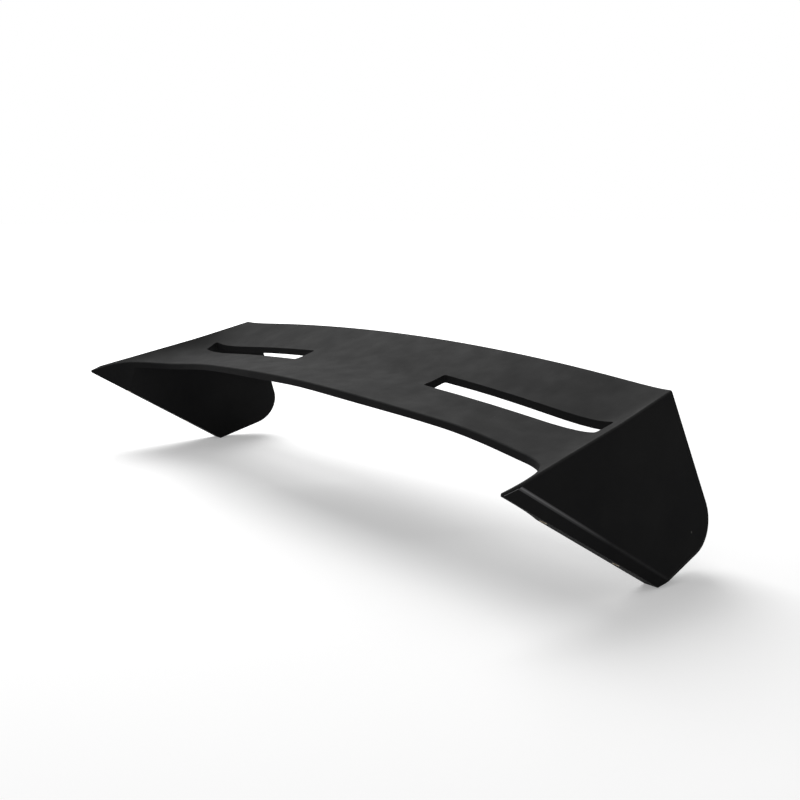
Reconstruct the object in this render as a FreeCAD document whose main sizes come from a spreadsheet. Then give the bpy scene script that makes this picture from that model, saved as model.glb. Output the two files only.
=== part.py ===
"""Rear wing for the roof edge of a hatchback: one moulded piece with two end plates and two slots.

Millimetres. X runs across the car, +Y to the rear and +Z up, as the wing sits on the car.
Inside the sketches the reference point is midway between the two front tips.
"""
import FreeCAD, Part
import math
import os
import Sketcher

# Name of each driving size, its value (millimetres or degrees) and what it measures.
SIZES = (
    ("tip_half_width", 560, "middle of the wing to the outer face at a front tip"),
    ("tip_height", 7, "height of the blunt front tip"),
    ("tip_width", 11, "width of the blunt front tip"),
    ("toe_in", 6.4, "outer faces close in towards the rear"),
    ("lean_in", 10.1, "outer faces lean in towards the top"),
    ("sole_length", 278, "front tip to heel along the sole"),
    ("sole_slope", 30.9, "sole falls to the rear"),
    ("heel_slope", 18, "lower rear edge of a plate rises to the rear"),
    ("heel_radius", 45, "round lower rear corner of a plate"),
    ("ridge_length", 298, "front tip to upper rear corner along the ridge"),
    ("ridge_slope", 13.3, "ridge rises to the rear"),
    ("rear_lean", 19.4, "rear edges lean forward from upright"),
    ("rear_bow", 31, "trailing edge bows back in the middle"),
    ("front_line", 95, "station near the front edge where surface heights are given"),
    ("bend_line", 196, "station where the top surface bends up"),
    ("bend_reach", 40, "how far the soft bend runs to the front and to the rear"),
    ("rear_line", 300, "station near the trailing edge where surface heights are given"),
    ("centre_front_height", 38, "top surface at the front station, in the middle"),
    ("centre_bend_height", 47, "corner of the bend, in the middle"),
    ("centre_rear_height", 81.5, "top surface at the rear station, in the middle"),
    ("front_crown", 40, "fall of the front station from the middle to the plates"),
    ("bend_crown", 34, "fall of the bend from the middle to the plates"),
    ("rear_crown", 14, "fall of the rear station from the middle to the plates"),
    ("crown_power", 1.8, "how evenly the crown falls away, 2 being a parabola"),
    ("ridge_power", 18, "how late the surface turns up to the ridges"),
    ("lip_thickness", 10, "panel at the front edge"),
    ("panel_thickness", 11, "panel at the bend"),
    ("tail_thickness", 9, "panel at the trailing edge"),
    ("plate_thickness", 24, "end plate at the height of the tip"),
    ("plate_inner_lean", 8, "inner faces of the plates lean in towards the top"),
    ("front_edge_distance", 93.5, "front edge behind the tips, in the middle"),
    ("shoulder_edge_distance", 110, "front edge behind the tips, where it lies furthest back"),
    ("shoulder_edge_inset", 190, "outer face at a tip to where the front edge lies furthest back"),
    ("shoulder_edge_radius", 700, "curve of the front edge there"),
    ("horn_radius", 90, "curve of the front edge round into a tip"),
    ("slot_inner_half_width", 169, "middle of the wing to the inner end of a slot"),
    ("slot_front_inset", 71.5, "outer face at a tip to the outer front corner of a slot"),
    ("slot_rear_inset", 63.5, "outer face at a tip to the outer rear corner of a slot"),
    ("slot_front_distance", 189.5, "inner front corner of a slot behind the tips"),
    ("slot_front_sweep", 4.5, "front wall of a slot runs back by this to its outer end"),
    ("slot_rear_distance", 227, "inner rear corner of a slot behind the tips"),
    ("slot_rear_sweep", 8.5, "rear wall of a slot runs forward by this to its outer end"),
    ("slot_corner_radius", 4, "corners of the slots"),
    ("band_height", 16.5, "crease of the turned-under foot band above the sole"),
    ("band_setback", 7, "how far the foot band turns under at the sole"),
    ("crease_radius", 12, "soft crease above a foot band"),
    ("rim_radius", 6, "rear rims of the plates"),
    ("edge_radius", 2.5, "rounded upper edges of the moulding"),
    ("insert_inset", 16.5, "outer face at a tip to the inserts in the soles, across the car"),
    ("insert_front_distance", 75, "front tip to a front insert along the sole"),
    ("insert_rear_distance", 205, "front tip to a rear insert along the sole"),
    ("insert_length", 13, "insert"),
    ("insert_diameter", 9, "insert"),
    ("thread_diameter", 5, "threaded hole of an insert, at its crests"),
    ("thread_depth", 11, "threaded hole of an insert"),
    ("insert_clearance", 0.05, "around an insert"),
    ("frame_distance", 173, "front tips to the origin of the frame"),
    ("stock", 60, "how far the raw block and the cutters stand past the finished faces"),
)

# Where the inserts sit: the side of the wing, and the distance from the front tip along the sole.
INSERT_PLACES = {
    "insert_left_front": ("1", "size.insert_front_distance"),
    "insert_left_rear": ("1", "size.insert_rear_distance"),
    "insert_right_front": ("-1", "size.insert_front_distance"),
    "insert_right_rear": ("-1", "size.insert_rear_distance"),
}

# How sketches count their origin and upright axis, and the points of an outline.
ORIGIN, Y_AXIS = range(-1, -3, -1)
START, END, CENTRE = range(1, 4)
# A face whose normal rises less than UPRIGHT stands upright, and one whose normal falls past LOOKS_DOWN lies
# under the wing. An edge is smooth where its faces turn less than SMOOTH_ANGLE, in radians.
UPRIGHT = 1e-6
LOOKS_DOWN = -0.5
SMOOTH_ANGLE = 0.1

doc = FreeCAD.newDocument("rear_wing")
sheet = doc.addObject("Spreadsheet::Sheet", "size")
for row, (alias, number, note) in enumerate(SIZES, start=1):
    sheet.set(f"A{row}", note)
    sheet.set(f"B{row}", str(number))
    sheet.setAlias(f"B{row}", alias)
doc.recompute()

# Places that follow from the driving sizes, as expressions over the sheet.
HEEL_Y = "size.sole_length * cos(size.sole_slope * 1 deg)"
HEEL_Z = "-(size.tip_height + size.sole_length * sin(size.sole_slope * 1 deg))"
RIDGE_Y = "size.ridge_length * cos(size.ridge_slope * 1 deg)"
RIDGE_Z = "size.ridge_length * sin(size.ridge_slope * 1 deg)"
INSERT_LINE = "(size.tip_half_width - size.insert_inset)"
BLOCK_REAR = f"({RIDGE_Y} + 2 * size.stock)"
BLOCK_TOP = f"({RIDGE_Z} + 2 * size.stock)"
BLOCK_BOTTOM = f"({HEEL_Z} - size.stock)"
NO_TURN = "rotation(vector(0; 0; 1); 0)"
# The ridge turns in more than the outer face's foot, because that face leans as well.
RIDGE_TURN = ("atan(tan(size.toe_in * 1 deg)"
              " + tan(size.lean_in * 1 deg) * tan(size.ridge_slope * 1 deg) / cos(size.toe_in * 1 deg))")


def value(expression):
    """Number that an expression over the sheet gives now."""
    result = sheet.evalExpression(expression)
    return float(getattr(result, "Value", result))


def new_sketch(body, name, plane, offset=None):
    """Sketch on one of the body's origin planes, moved by a placement expression."""
    sketch = body.newObject("Sketcher::SketchObject", name)
    support = next(item for item in body.Origin.OriginFeatures if item.Role == plane)
    sketch.AttachmentSupport = (support, "")
    sketch.MapMode = "FlatFace"
    if offset:
        sketch.setExpression("AttachmentOffset", offset)
    return sketch


def bind(sketch, kind, arguments, expression):
    """Dimension of a sketch, tied to the sheet."""
    index = sketch.addConstraint(Sketcher.Constraint(kind, *arguments, value(expression)))
    sketch.setExpression(f"Constraints[{index}]", expression)


def pin(sketch, geometry, point, across=None, up=None):
    """Hold a sketch point at the given distances from the sketch's origin."""
    if across is not None:
        bind(sketch, "DistanceX", (ORIGIN, START, geometry, point), across)
    if up is not None:
        bind(sketch, "DistanceY", (ORIGIN, START, geometry, point), up)


def polygon(sketch, corners):
    """Closed outline of straight lines through the given corners."""
    points = [FreeCAD.Vector(value(across), value(up), 0) for across, up in corners]
    following = points[1:] + points[:1]
    lines = [sketch.addGeometry(Part.LineSegment(a, b)) for a, b in zip(points, following)]
    for line, after in zip(lines, lines[1:] + lines[:1]):
        sketch.addConstraint(Sketcher.Constraint("Coincident", line, END, after, START))
    for line, (across, up) in zip(lines, corners):
        pin(sketch, line, START, across, up)


def surface_section(sketch, heights, closing_height):
    """Region between the panel's profile, two straight runs with a soft bend, and a level line."""
    stations = ("size.front_line", "size.bend_line", "size.rear_line")
    front, bend, rear = [FreeCAD.Vector(value(y), value(z), 0) for y, z in zip(stations, heights)]
    front_run = sketch.addGeometry(Part.LineSegment(front, bend), True)
    rear_run = sketch.addGeometry(Part.LineSegment(bend, rear), True)
    pin(sketch, front_run, START, stations[0], heights[0])
    pin(sketch, front_run, END, stations[1], heights[1])
    sketch.addConstraint(Sketcher.Constraint("Coincident", front_run, END, rear_run, START))
    pin(sketch, rear_run, END, stations[2], heights[2])

    places = (
        "-size.stock", "size.front_line",
        "size.bend_line - size.bend_reach", "size.bend_line", "size.bend_line + size.bend_reach",
        "size.rear_line", BLOCK_REAR)
    poles, handles = [], []
    for place in places:
        across = value(place)
        run, low, high = (front_run, front, bend) if across <= bend.x else (rear_run, bend, rear)
        pole = low + (high - low) * ((across - low.x) / (high.x - low.x))
        handle = sketch.addGeometry(Part.Circle(pole, FreeCAD.Vector(0, 0, 1), 1), True)
        sketch.addConstraint(Sketcher.Constraint("Weight", handle, 1))
        pin(sketch, handle, CENTRE, place)
        sketch.addConstraint(Sketcher.Constraint("PointOnObject", handle, CENTRE, run))
        poles.append(pole)
        handles.append(handle)
    curve = Part.BSplineCurve()
    curve.buildFromPoles(poles)
    profile = sketch.addGeometry(curve)
    for number, handle in enumerate(handles):
        sketch.addConstraint(Sketcher.Constraint(
            "InternalAlignment:Sketcher::BSplineControlPoint", handle, CENTRE, profile, number))

    level = value(closing_height)
    first, last = poles[0], poles[-1]
    corners = [last, FreeCAD.Vector(last.x, level, 0), FreeCAD.Vector(first.x, level, 0), first]
    lines = [sketch.addGeometry(Part.LineSegment(a, b)) for a, b in zip(corners, corners[1:])]
    rear_wall, far_line, front_wall = lines
    for joint in ((rear_wall, END, far_line, START), (far_line, END, front_wall, START),
                  (front_wall, END, profile, START), (profile, END, rear_wall, START)):
        sketch.addConstraint(Sketcher.Constraint("Coincident", *joint))
    pin(sketch, far_line, START, BLOCK_REAR, closing_height)
    pin(sketch, far_line, END, "-size.stock", closing_height)


def station_height(centre, crown, ridge, share):
    """Height of the top surface at a share of the way out to the ridge."""
    falling = f"({crown}) * ({share}) ^ size.crown_power"
    rising = f"(({ridge}) - ({centre}) + ({crown})) * ({share}) ^ size.ridge_power"
    return f"(({centre}) - {falling} + {rising})"


def surface_heights(share):
    """Heights of the top surface at the front station, the bend and the rear station."""
    heights = []
    for station in ("front", "bend", "rear"):
        centre, crown = f"size.centre_{station}_height", f"size.{station}_crown"
        ridge = f"size.{station}_line * tan(size.ridge_slope * 1 deg)"
        heights.append(station_height(centre, crown, ridge, share))
    return heights


wing = doc.addObject("PartDesign::Body", "wing_shell")


def feature(kind, name, profile=None):
    """New solid step of the wing."""
    step = wing.newObject(f"PartDesign::{kind}", name)
    if profile:
        step.Profile = profile
    return step


def raw_block():
    """Side view of an end plate, as one block over the whole width."""
    side_view = new_sketch(wing, "side_view", "YZ_Plane")
    heel_end = f"{HEEL_Z} + ({BLOCK_REAR} - {HEEL_Y}) * tan(size.heel_slope * 1 deg)"
    polygon(side_view, (
        ("0", "-size.tip_height"), (HEEL_Y, HEEL_Z), (BLOCK_REAR, heel_end),
        (BLOCK_REAR, BLOCK_TOP), ("0", BLOCK_TOP)))
    block = feature("Pad", "block", side_view)
    block.SideType = "Symmetric"
    block.setExpression("Length", "2 * (size.tip_half_width + size.stock)")


def outer_faces():
    """Flat outer face of each end plate, toed in and leaning in."""
    offset = "placement(vector(size.tip_half_width; 0; 0); rotation(vector(0; 1; 0); size.toe_in * 1 deg))"
    front_view = new_sketch(wing, "outer_face_view", "XZ_Plane", offset)
    lean = "tan(size.lean_in * 1 deg)"
    outside = "3 * size.stock"
    polygon(front_view, (
        (f"-{BLOCK_TOP} * {lean}", BLOCK_TOP), (f"-{BLOCK_BOTTOM} * {lean}", BLOCK_BOTTOM),
        (outside, BLOCK_BOTTOM), (outside, BLOCK_TOP)))
    cut = feature("Pocket", "outer_face", front_view)
    cut.Type = "ThroughAll"
    cut.SideType = "Symmetric"
    mirror(cut)


def mirror(step):
    """Repeat a step on the other side of the wing."""
    copy = feature("Mirrored", f"{step.Name}_mirrored")
    copy.Originals = [step]
    middle = next(item for item in wing.Origin.OriginFeatures if item.Role == "YZ_Plane")
    copy.MirrorPlane = (middle, [""])
    wing.Tip = copy


def rear_face():
    """Trailing edge and the rear edges of the plates, bowed in plan and leaning forward."""
    turn = "rotation(vector(1; 0; 0); size.rear_lean * 1 deg)"
    offset = f"placement(vector(0; {RIDGE_Y}; {RIDGE_Z}); {turn})"
    view = new_sketch(wing, "rear_view", "XY_Plane", offset)
    wide = "(size.tip_half_width + 2 * size.stock)"
    half_width = value(wide)
    bow = value("size.rear_bow")
    radius = (value("size.tip_half_width") ** 2 + bow ** 2) / (2 * bow)
    centre = FreeCAD.Vector(0, bow - radius, 0)
    end = FreeCAD.Vector(half_width, centre.y + math.sqrt(radius ** 2 - half_width ** 2), 0)
    far = value("4 * size.stock")
    angle = math.atan2(end.y - centre.y, end.x)
    circle = Part.Circle(centre, FreeCAD.Vector(0, 0, 1), radius)
    arc = view.addGeometry(Part.ArcOfCircle(circle, angle, math.pi - angle))
    corners = [FreeCAD.Vector(-end.x, end.y, 0), FreeCAD.Vector(-half_width, far, 0),
               FreeCAD.Vector(half_width, far, 0), end]
    left, back, right = [view.addGeometry(Part.LineSegment(a, b)) for a, b in zip(corners, corners[1:])]
    for joint in ((arc, END, left, START), (left, END, back, START),
                  (back, END, right, START), (right, END, arc, START)):
        view.addConstraint(Sketcher.Constraint("Coincident", *joint))
    view.addConstraint(Sketcher.Constraint("Vertical", left))
    view.addConstraint(Sketcher.Constraint("Vertical", right))
    view.addConstraint(Sketcher.Constraint("PointOnObject", arc, CENTRE, Y_AXIS))
    pin(view, back, START, f"-{wide}", "4 * size.stock")
    pin(view, back, END, wide, "4 * size.stock")
    for across, up in (("size.tip_half_width", "0"), ("0", "size.rear_bow")):
        point = view.addGeometry(Part.Point(FreeCAD.Vector(value(across), value(up), 0)), True)
        pin(view, point, START, across, up)
        view.addConstraint(Sketcher.Constraint("PointOnObject", point, START, arc))
    cut = feature("Pocket", "rear_face", view)
    cut.Type = "ThroughAll"
    cut.SideType = "Symmetric"


def loft_cut(name, sections):
    """Cut through a row of section sketches, left to right."""
    cut = feature("SubtractiveLoft", name, sections[0])
    cut.Sections = sections[1:]
    return cut


SECTION_SHARES = (0, 0.4, 0.7, 0.86)
END_SHARES = (0.94, 1.02)


def both_sides(shares):
    """Section shares from the right end, through the middle, to the left end."""
    return [-share for share in reversed(shares[1:])] + list(shares)


def top_surface():
    """Crowned top surface that dips beside the plates and rises to their ridges."""
    sections = []
    for number, share in enumerate(both_sides(SECTION_SHARES + END_SHARES)):
        offset = (f"placement(vector(0; 0; {share} * size.tip_half_width);"
                  f" rotation(vector(0; 1; 0); {share} * {RIDGE_TURN}))")
        sketch = new_sketch(wing, f"top_section_{number}", "YZ_Plane", offset)
        surface_section(sketch, surface_heights(abs(share)), f"{BLOCK_TOP} + size.stock")
        sections.append(sketch)
    loft_cut("top_surface", sections)


def underside():
    """Space under the panel, between the inner faces of the plates."""
    thicknesses = ("size.lip_thickness", "size.panel_thickness", "size.tail_thickness")
    inner_distance = "(size.tip_half_width - size.plate_thickness)"
    end_share = f"({inner_distance} / size.tip_half_width)"
    shares = both_sides(SECTION_SHARES)
    row = [(-1, None)] + [(math.copysign(1, share), abs(share)) for share in shares] + [(1, None)]
    sections = []
    for number, (side, share) in enumerate(row):
        if share is None:
            place = f"vector(0; 0; {side} * {inner_distance})"
            turn = (f"rotation(vector(0; 1; 0); {side} * size.toe_in * 1 deg)"
                    f" * rotation(vector(1; 0; 0); -{side} * size.plate_inner_lean * 1 deg)")
        else:
            place = f"vector(0; 0; {side} * {share} * size.tip_half_width)"
            turn = f"rotation(vector(0; 1; 0); {side} * {share} * {RIDGE_TURN})"
        sketch = new_sketch(wing, f"underside_section_{number}", "YZ_Plane", f"placement({place}; {turn})")
        heights = surface_heights(end_share if share is None else share)
        lowered = [f"{height} - {thickness}" for height, thickness in zip(heights, thicknesses)]
        surface_section(sketch, lowered, BLOCK_BOTTOM)
        sections.append(sketch)
    loft_cut("underside", sections)


def front_notch():
    """Front edge in plan: a shallow bow that sweeps round into the two horns."""
    plan = new_sketch(wing, "plan_view", "XY_Plane")
    edge = "(size.tip_half_width - size.tip_width)"
    shoulder_x = "(size.tip_half_width - size.shoulder_edge_inset)"
    shoulder_y = "(size.shoulder_edge_distance - size.shoulder_edge_radius)"
    shoulder_radius, horn_radius = value("size.shoulder_edge_radius"), value("size.horn_radius")
    shoulder = FreeCAD.Vector(value(shoulder_x), value(shoulder_y), 0)
    horn_x = value(edge) - horn_radius
    horn_rise = math.sqrt((shoulder_radius - horn_radius) ** 2 - (horn_x - shoulder.x) ** 2)
    horn = FreeCAD.Vector(horn_x, shoulder.y + horn_rise, 0)
    middle_rise = value("size.front_edge_distance") - shoulder.y
    bow_radius = (shoulder.Length ** 2 - shoulder.y ** 2 + middle_rise ** 2 - shoulder_radius ** 2) / (
        2 * (shoulder_radius - middle_rise))
    bow = FreeCAD.Vector(0, value("size.front_edge_distance") + bow_radius, 0)
    up = FreeCAD.Vector(0, 0, 1)

    def bearing(start, end):
        return math.atan2(end.y - start.y, end.x - start.x)

    def arc(side, centre, radius, first, last):
        if side < 0:
            centre, first, last = FreeCAD.Vector(-centre.x, centre.y, 0), math.pi - last, math.pi - first
        return plan.addGeometry(Part.ArcOfCircle(Part.Circle(centre, up, radius), first, last))

    turn_out, turn_in = bearing(shoulder, horn), bearing(shoulder, bow)
    middle = arc(1, bow, bow_radius, -turn_in, turn_in - math.pi)
    corners = []
    for side, first, last in ((1, START, END), (-1, END, START)):
        sweep = arc(side, shoulder, shoulder_radius, turn_out, turn_in)
        round_in = arc(side, horn, horn_radius, 0, turn_out)
        foot = FreeCAD.Vector(side * value(edge), value("-size.stock"), 0)
        wall = plan.addGeometry(Part.LineSegment(foot, FreeCAD.Vector(foot.x, horn.y, 0)))
        for joint in ((middle, last, sweep, last), (sweep, first, round_in, last),
                      (round_in, first, wall, END)):
            plan.addConstraint(Sketcher.Constraint("Tangent", *joint))
        bind(plan, "Radius", (sweep,), "size.shoulder_edge_radius")
        bind(plan, "Radius", (round_in,), "size.horn_radius")
        pin(plan, sweep, CENTRE, f"{side} * {shoulder_x}", shoulder_y)
        pin(plan, wall, START, f"{side} * {edge}", "-size.stock")
        plan.addConstraint(Sketcher.Constraint("Vertical", wall))
        corners.append((wall, foot))
    (left_wall, left_foot), (right_wall, right_foot) = corners
    close = plan.addGeometry(Part.LineSegment(left_foot, right_foot))
    plan.addConstraint(Sketcher.Constraint("Coincident", close, START, left_wall, START))
    plan.addConstraint(Sketcher.Constraint("Coincident", close, END, right_wall, START))
    apex = plan.addGeometry(Part.Point(FreeCAD.Vector(0, value("size.front_edge_distance"), 0)), True)
    plan.addConstraint(Sketcher.Constraint("PointOnObject", apex, START, Y_AXIS))
    pin(plan, apex, START, up="size.front_edge_distance")
    plan.addConstraint(Sketcher.Constraint("PointOnObject", apex, START, middle))
    cut = feature("Pocket", "front_notch", plan)
    cut.Type = "ThroughAll"
    cut.SideType = "Symmetric"


def foot_bands():
    """Band along the foot of each outer face that turns under to the sole."""
    offset = ("placement(vector(size.tip_half_width; -size.tip_height; 0);"
              " rotation(vector(1; 0; 0); -size.sole_slope * 1 deg))")
    view = new_sketch(wing, "band_view", "XZ_Plane", offset)
    lean = ("(tan(size.toe_in * 1 deg) * sin(size.sole_slope * 1 deg)"
            " + tan(size.lean_in * 1 deg) * cos(size.sole_slope * 1 deg) / cos(size.toe_in * 1 deg))")
    edge = "(size.tip_height * tan(size.lean_in * 1 deg) / cos(size.toe_in * 1 deg))"
    inset = f"(size.band_setback - {lean} * size.band_height)"
    polygon(view, (
        (f"{edge} - size.band_setback - {inset}", "-size.band_height"),
        (f"{edge} - size.band_setback + 2 * {inset}", "2 * size.band_height"),
        ("size.stock", "2 * size.band_height"),
        ("size.stock", "-size.band_height")))
    cut = feature("Pocket", "foot_band", view)
    cut.Type = "ThroughAll"
    cut.SideType = "Symmetric"
    mirror(cut)


def kind(face):
    """What a face of the wing is, told by its form and the way it looks."""
    first_u, last_u, first_v, last_v = face.ParameterRange
    normal = face.normalAt((first_u + last_u) / 2, (first_v + last_v) / 2)
    centre = face.CenterOfMass
    off_centre = abs(centre.x) > value("size.edge_radius")
    form = face.Surface.TypeId
    if form == "Part::GeomCylinder":
        return "rear" if centre.y > value("size.bend_line") else "front"
    if form == "Part::GeomBSplineSurface" and not off_centre:
        return "top" if normal.z > 0 else "underside"
    if form != "Part::GeomPlane":
        return "round"
    if abs(normal.z) < UPRIGHT:
        return "slot" if centre.y > value("size.front_line") else "tip"
    if normal.z < LOOKS_DOWN:
        return "sole" if normal.y < 0 else "heel"
    if normal.x * centre.x < 0:
        return "inner"
    return "outer" if normal.z > 0 else "band"


def is_sharp(edge, faces):
    """True where the two faces of an edge don't run smoothly into each other."""
    point = edge.valueAt((edge.FirstParameter + edge.LastParameter) / 2)
    first, second = [face.normalAt(*face.Surface.parameter(point)) for face in faces]
    return first.getAngle(second) > SMOOTH_ANGLE


def seams(pairs):
    """Names of the sharp edges where faces of the given two kinds meet."""
    doc.recompute()
    shape = wing.Shape
    kinds = {face.hashCode(): kind(face) for face in shape.Faces}
    wanted = [sorted(pair) for pair in pairs]
    names = []
    for number, edge in enumerate(shape.Edges, start=1):
        faces = shape.ancestorsOfType(edge, Part.Face)
        if sorted(kinds[face.hashCode()] for face in faces) in wanted and is_sharp(edge, faces):
            names.append(f"Edge{number}")
    return names


def rounding(name, radius, *pairs):
    """Rounded edges between the given kinds of faces."""
    names = seams(pairs)
    base = wing.Tip
    step = feature("Fillet", name)
    step.Base = (base, names)
    step.setExpression("Radius", radius)


def slots():
    """Long slot through the panel on each side, narrowing to its outer end."""
    view = new_sketch(wing, "slot_view", "XY_Plane")
    polygon(view, (
        ("size.slot_inner_half_width", "size.slot_front_distance"),
        ("size.tip_half_width - size.slot_front_inset", "size.slot_front_distance + size.slot_front_sweep"),
        ("size.tip_half_width - size.slot_rear_inset", "size.slot_rear_distance - size.slot_rear_sweep"),
        ("size.slot_inner_half_width", "size.slot_rear_distance")))
    cut = feature("Pocket", "slot", view)
    cut.Type = "ThroughAll"
    cut.SideType = "Symmetric"
    mirror(cut)


def insert_holes():
    """Four blind holes in the soles that hold the inserts."""
    turn = "rotation(vector(1; 0; 0); -size.sole_slope * 1 deg)"
    offset = f"placement(vector(0; 0; -size.tip_height); {turn})"
    view = new_sketch(wing, "insert_hole_view", "XY_Plane", offset)
    radius = "(size.insert_diameter / 2 + size.insert_clearance)"
    for side, along in INSERT_PLACES.values():
        across = f"{side} * {INSERT_LINE}"
        centre = FreeCAD.Vector(value(across), value(along), 0)
        circle = view.addGeometry(Part.Circle(centre, FreeCAD.Vector(0, 0, 1), value(radius)))
        bind(view, "Radius", (circle,), radius)
        pin(view, circle, CENTRE, across, along)
    cut = feature("Pocket", "insert_hole", view)
    cut.Reversed = True
    cut.setExpression("Length", "size.insert_length + size.insert_clearance")


def insert(name, side, along):
    """Metal insert with a blind threaded hole, its mouth flush with the sole."""
    body = doc.addObject("PartDesign::Body", name)
    section = new_sketch(body, f"{name}_section", "XZ_Plane")
    hole, shank = "size.thread_diameter / 2", "size.insert_diameter / 2"
    polygon(section, (
        (hole, "0"), (shank, "0"), (shank, "size.insert_length"), ("0", "size.insert_length"),
        ("0", "size.thread_depth"), (hole, "size.thread_depth")))
    turned = body.newObject("PartDesign::Revolution", f"{name}_turned")
    turned.Profile = section
    turned.ReferenceAxis = (section, ["V_Axis"])
    sole = "size.sole_slope * 1 deg"
    place = (f"vector({side} * {INSERT_LINE}; {along} * cos({sole}) - size.frame_distance;"
             f" -size.tip_height - {along} * sin({sole}) - {HEEL_Z})")
    body.setExpression("Placement", f"placement({place}; rotation(vector(1; 0; 0); -{sole}))")
    return body


raw_block()
outer_faces()
rear_face()
top_surface()
underside()
front_notch()
rounding("heel_round", "size.heel_radius", ("rear", "heel"))
foot_bands()
rounding("crease", "size.crease_radius", ("outer", "band"))
rounding("plate_rim", "size.rim_radius", ("outer", "rear"))
rounding("upper_edge", "size.edge_radius",
         ("top", "outer"), ("top", "front"), ("top", "round"))
slots()
rounding("slot_corner", "size.slot_corner_radius", ("slot", "slot"))
insert_holes()
wing.setExpression("Placement", f"placement(vector(0; -size.frame_distance; -{HEEL_Z}); {NO_TURN})")
nodes = [wing] + [insert(name, *place) for name, place in INSERT_PLACES.items()]
doc.recompute()

for item in doc.Objects:
    if "Invalid" in item.State or "Error" in item.State:
        raise RuntimeError(f"{item.Label} failed: {item.State}")
for node in nodes:
    if node.Shape.isNull() or not node.Shape.isValid():
        raise RuntimeError(f"{node.Label} has no sound shape")

os.makedirs("parts", exist_ok=True)
for node in nodes:
    node.Shape.exportStep(f"parts/{node.Label}.step")
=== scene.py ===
"""Looks of the rear wing: satin black moulding, brass inserts, a white studio and the photo's camera."""
import math

import bpy
from mathutils import Euler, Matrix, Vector

# Camera of the photo, in metres and degrees.
CAMERA_PLACE = Vector((1.4006, -0.9169, 0.4284))
CAMERA_AZIMUTH = 54.0
CAMERA_ELEVATION = 9.43
CAMERA_LENS_MM = 51.75
CAMERA_SENSOR_MM = 36.0

# Light on the wing and the floor, in metres and watts.
OVERHEAD_PLACE = Vector((-1.7, 0.7, 2.4))
OVERHEAD_AIM = Vector((0, 0, 0.15))
OVERHEAD_SIZE = 2.4
OVERHEAD_WATTS = 90
SURROUND_LIGHT = 0.42

# Card that the near plate mirrors.
CARD_PLACE = Vector((2.3, 1.7, 0.75))
CARD_WIDTH = 4.0
CARD_HEIGHT = 1.4
CARD_COLOUR = (0.002, 0.002, 0.002, 1)

# Floor, its own glow near the wing, and the distances between which that rises to white.
FLOOR_SIZE = 60
FLOOR_COLOUR = (0.8, 0.8, 0.8, 1)
FLOOR_GLOW = 0.30
FLOOR_NEAR = 1.0
FLOOR_FAR = 3.5

# Colours of the moulding, and how much of each covers what is below it.
BLACK_DARK = (0.0110, 0.0110, 0.0115, 1)
BLACK_PALE = (0.0155, 0.0155, 0.0155, 1)
# Dust on the upward faces, which is also painted light that makes the top paler.
DUST_AND_SHEEN_COLOUR = (0.045, 0.045, 0.043, 1)
DUST_AND_SHEEN_SHARE = 0.16
SPECK_COLOUR = (0.16, 0.16, 0.15, 1)
SPECK_SHARE = 0.5
# Painted highlights: a pale colour laid along the upper edges and along the foot creases near the tips,
# and how much of it.
PAINTED_HIGHLIGHT_COLOUR = (0.28, 0.28, 0.285, 1)
UPPER_EDGE_HIGHLIGHT_SHARE = 0.03
CREASE_HIGHLIGHT_SHARE = 1.0
CREASE_REAR_HIGHLIGHT_SHARE = 0.08

# Gloss and grain of the moulding.
ROUGH_LOW = 0.62
ROUGH_HIGH = 0.72
SPECULAR_LEVEL = 0.027
GRAIN_STRENGTH = 0.12
GRAIN_DEPTH = 0.0002

# Cells to the metre of each pattern.
MOTTLE_CELLS = 9.0
DUST_CELLS = 22.0
SPECK_CELLS = 16.0
GLOSS_CELLS = 30.0
GRAIN_CELLS = 1800.0
TARNISH_CELLS = 260.0
TOOL_MARK_CELLS = 900.0

# Colours of the inserts.
BRASS_DARK = (0.24, 0.16, 0.06, 1)
BRASS_PALE = (0.42, 0.30, 0.12, 1)

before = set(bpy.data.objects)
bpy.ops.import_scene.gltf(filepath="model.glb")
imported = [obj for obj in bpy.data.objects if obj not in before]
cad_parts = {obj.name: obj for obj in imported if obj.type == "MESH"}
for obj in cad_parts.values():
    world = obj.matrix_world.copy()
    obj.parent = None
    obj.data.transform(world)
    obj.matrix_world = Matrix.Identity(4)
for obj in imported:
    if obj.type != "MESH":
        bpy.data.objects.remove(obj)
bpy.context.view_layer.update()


def new_material(name):
    """Material with only a principled shader, its output and the object's own coordinates."""
    material = bpy.data.materials.new(name)
    material.use_nodes = True
    tree = material.node_tree
    shader = tree.nodes["Principled BSDF"]
    place = tree.nodes.new("ShaderNodeTexCoord").outputs["Object"]
    return material, tree, shader, place


def matte_material(name, colour):
    """Material of one colour with no gloss."""
    material, tree, shader, place = new_material(name)
    shader.inputs["Base Color"].default_value = colour
    shader.inputs["Roughness"].default_value = 1.0
    shader.inputs["Specular IOR Level"].default_value = 0.0
    return material, tree, shader, place


def noise(tree, place, cells, detail=4.0, roughness=0.55):
    """Noise of a given number of cells to the metre."""
    node = tree.nodes.new("ShaderNodeTexNoise")
    node.inputs["Scale"].default_value = cells
    node.inputs["Detail"].default_value = detail
    node.inputs["Roughness"].default_value = roughness
    tree.links.new(place, node.inputs["Vector"])
    return node.outputs["Fac"]


def spread(tree, source, low, high, to_low, to_high):
    """Part of a source's range, stretched to another range."""
    node = tree.nodes.new("ShaderNodeMapRange")
    node.inputs["From Min"].default_value = low
    node.inputs["From Max"].default_value = high
    node.inputs["To Min"].default_value = to_low
    node.inputs["To Max"].default_value = to_high
    tree.links.new(source, node.inputs["Value"])
    return node.outputs["Result"]


def combined(tree, operation, first, second):
    """Two values put together by one operation."""
    node = tree.nodes.new("ShaderNodeMath")
    node.operation = operation
    tree.links.new(first, node.inputs[0])
    tree.links.new(second, node.inputs[1])
    return node.outputs["Value"]


def product(tree, first, second):
    """Two values multiplied."""
    return combined(tree, "MULTIPLY", first, second)


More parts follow.
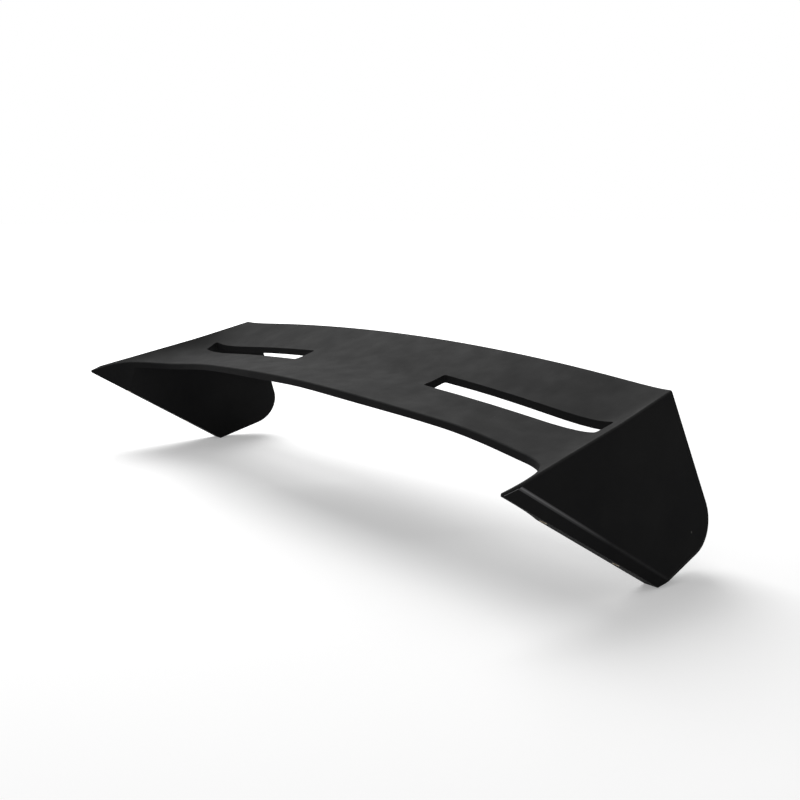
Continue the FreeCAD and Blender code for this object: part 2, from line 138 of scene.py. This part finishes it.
def parts_of(tree, vector):
    """X, Y and Z of a vector."""
    node = tree.nodes.new("ShaderNodeSeparateXYZ")
    tree.links.new(vector, node.inputs["Vector"])
    return node.outputs["X"], node.outputs["Y"], node.outputs["Z"]


def shades(tree, source, dark_at, dark, pale_at, pale):
    """Colour between a dark and a pale shade, by a source's value."""
    ramp = tree.nodes.new("ShaderNodeValToRGB")
    first, last = ramp.color_ramp.elements
    first.position = dark_at
    first.color = dark
    last.position = pale_at
    last.color = pale
    tree.links.new(source, ramp.inputs["Fac"])
    return ramp.outputs["Color"]


def covered(tree, below, share, colour):
    """Colour below, covered by another colour to a share."""
    node = tree.nodes.new("ShaderNodeMix")
    node.data_type = "RGBA"
    tree.links.new(share, node.inputs["Factor"])
    tree.links.new(below, node.inputs["A"])
    node.inputs["B"].default_value = colour
    return node.outputs["Result"]


def hump(tree, source, low, peak, high, amount):
    """Amount that rises from nothing at low to its peak, and falls to nothing at high."""
    rise = spread(tree, source, low, peak, 0.0, 1.0)
    fall = spread(tree, source, peak, high, amount, 0.0)
    return product(tree, rise, fall)


def painted_edge_highlights(tree, place, normal):
    """Painted highlights: how much paler the moulding is painted along its upper edges, and along the
    creases near the tips.
    """
    across, along, _ = parts_of(tree, place)
    facing_across, _, facing_up = parts_of(tree, normal)
    upper = hump(tree, facing_up, 0.25, 0.62, 0.9, UPPER_EDGE_HIGHLIGHT_SHARE)
    outward = spread(tree, product(tree, across, facing_across), 0.35, 0.5, 0.0, 1.0)
    crease = hump(tree, facing_up, -0.16, 0.01, 0.13, CREASE_HIGHLIGHT_SHARE)
    forward = spread(tree, along, -0.18, -0.02, 1.0, CREASE_REAR_HIGHLIGHT_SHARE)
    crease_highlight = product(tree, product(tree, crease, outward), forward)
    return combined(tree, "ADD", upper, crease_highlight)


def dust_and_sheen_film(tree, place, normal):
    """How much dust lies on what faces up; this pale film is also painted light that makes the top
    paler.
    """
    facing_up = parts_of(tree, normal)[2]
    upward = spread(tree, facing_up, 0.3, 0.95, 0.0, 1.0)
    patches = spread(tree, noise(tree, place, DUST_CELLS, 6.0), 0.35, 0.75, 0.6, 1.0)
    return spread(tree, product(tree, upward, patches), 0.0, 1.0, 0.0, DUST_AND_SHEEN_SHARE)


def specks(tree, place):
    """Small round spots, far apart."""
    cells = tree.nodes.new("ShaderNodeTexVoronoi")
    cells.inputs["Scale"].default_value = SPECK_CELLS
    tree.links.new(place, cells.inputs["Vector"])
    return spread(tree, cells.outputs["Distance"], 0.012, 0.03, SPECK_SHARE, 0.0)


def black_plastic():
    """Satin black moulding: fine grain, slight mottling, a film of dust and painted light on top, a few
    pale specks, and painted highlights along the upper edges and foot creases.
    """
    material, tree, shader, place = new_material("black_plastic")
    normal = tree.nodes.new("ShaderNodeNewGeometry").outputs["Normal"]
    colour = shades(tree, noise(tree, place, MOTTLE_CELLS), 0.3, BLACK_DARK, 0.7, BLACK_PALE)
    # Dust on the upward faces, also painted light that makes the top paler.
    colour = covered(tree, colour, dust_and_sheen_film(tree, place, normal), DUST_AND_SHEEN_COLOUR)
    colour = covered(tree, colour, specks(tree, place), SPECK_COLOUR)
    # Painted highlights along the upper edges and along the foot creases near the tips.
    colour = covered(tree, colour, painted_edge_highlights(tree, place, normal), PAINTED_HIGHLIGHT_COLOUR)
    tree.links.new(colour, shader.inputs["Base Color"])

    gloss = spread(tree, noise(tree, place, GLOSS_CELLS), 0.3, 0.7, ROUGH_LOW, ROUGH_HIGH)
    tree.links.new(gloss, shader.inputs["Roughness"])
    shader.inputs["Specular IOR Level"].default_value = SPECULAR_LEVEL
    grain = tree.nodes.new("ShaderNodeBump")
    grain.inputs["Strength"].default_value = GRAIN_STRENGTH
    grain.inputs["Distance"].default_value = GRAIN_DEPTH
    tree.links.new(noise(tree, place, GRAIN_CELLS, 2.0), grain.inputs["Height"])
    tree.links.new(grain.outputs["Normal"], shader.inputs["Normal"])
    return material


def brass():
    """Turned brass with faint tool marks and some tarnish."""
    material, tree, shader, place = new_material("turned_brass")
    colour = shades(tree, noise(tree, place, TARNISH_CELLS), 0.0, BRASS_DARK, 1.0, BRASS_PALE)
    tree.links.new(colour, shader.inputs["Base Color"])
    shader.inputs["Metallic"].default_value = 1.0
    marks = spread(tree, noise(tree, place, TOOL_MARK_CELLS), 0.3, 0.7, 0.25, 0.4)
    tree.links.new(marks, shader.inputs["Roughness"])
    return material


def dress_nodes():
    """Materials of the carried-over pieces."""
    plastic = black_plastic()
    metal = brass()
    for name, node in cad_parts.items():
        node.data.materials.clear()
        node.data.materials.append(plastic if name == "wing_shell" else metal)


def seen_directly(tree):
    """1 for what the camera sees itself, in a reflection or through glass, else 0."""
    path = tree.nodes.new("ShaderNodeLightPath")
    mirrored = combined(tree, "MAXIMUM", path.outputs["Is Camera Ray"], path.outputs["Is Glossy Ray"])
    return combined(tree, "MAXIMUM", mirrored, path.outputs["Is Transmission Ray"])


def studio_floor():
    """Pale floor that looks white away from the wing and keeps the wing's soft shadow."""
    bpy.ops.mesh.primitive_plane_add(size=FLOOR_SIZE, location=(0, 0, 0))
    floor = bpy.context.object
    floor.name = "studio_floor"
    material, tree, shader, place = matte_material("studio_floor", FLOOR_COLOUR)
    shader.inputs["Emission Color"].default_value = (1, 1, 1, 1)
    away = tree.nodes.new("ShaderNodeVectorMath")
    away.operation = "LENGTH"
    tree.links.new(place, away.inputs[0])
    glow = spread(tree, away.outputs["Value"], FLOOR_NEAR, FLOOR_FAR, FLOOR_GLOW, 1.0)
    tree.links.new(product(tree, glow, seen_directly(tree)), shader.inputs["Emission Strength"])
    floor.data.materials.append(material)


def studio_light():
    """Soft light above the far end, and an even surround that looks white."""
    world = bpy.data.worlds.new("studio")
    bpy.context.scene.world = world
    world.use_nodes = True
    tree = world.node_tree
    surround = tree.nodes["Background"]
    strength = spread(tree, seen_directly(tree), 0.0, 1.0, SURROUND_LIGHT, 1.0)
    tree.links.new(strength, surround.inputs["Strength"])
    surround.inputs["Color"].default_value = (1, 1, 1, 1)

    light = bpy.data.lights.new("overhead", "AREA")
    light.shape = "RECTANGLE"
    light.size = OVERHEAD_SIZE
    light.size_y = OVERHEAD_SIZE
    light.energy = OVERHEAD_WATTS
    lamp = bpy.data.objects.new("overhead", light)
    bpy.context.scene.collection.objects.link(lamp)
    lamp.location = OVERHEAD_PLACE
    lamp.rotation_euler = (OVERHEAD_AIM - OVERHEAD_PLACE).to_track_quat("-Z", "Y").to_euler()


def dark_card():
    """Black card beside the near end, out of the picture, that keeps that plate's reflection dark."""
    bpy.ops.mesh.primitive_plane_add(size=1, location=CARD_PLACE)
    card = bpy.context.object
    card.name = "dark_card"
    card.scale = (CARD_WIDTH, CARD_HEIGHT, 1)
    toward = Vector((0, 0, CARD_PLACE.z)) - CARD_PLACE
    card.rotation_euler = toward.to_track_quat("Z", "Y").to_euler()
    card.data.materials.append(matte_material("dark_card", CARD_COLOUR)[0])
    card.visible_camera = False
    card.visible_shadow = False


def photo_camera():
    """Camera where the photo was taken from."""
    lens = bpy.data.cameras.new("photo_camera")
    lens.lens = CAMERA_LENS_MM
    lens.sensor_width = CAMERA_SENSOR_MM
    camera = bpy.data.objects.new("photo_camera", lens)
    bpy.context.scene.collection.objects.link(camera)
    camera.location = CAMERA_PLACE
    tilt = math.radians(90 - CAMERA_ELEVATION)
    camera.rotation_euler = Euler((tilt, 0, math.radians(CAMERA_AZIMUTH)))
    bpy.context.scene.camera = camera


dress_nodes()
studio_floor()
studio_light()
dark_card()
photo_camera()
bpy.context.scene.view_settings.view_transform = "Standard"
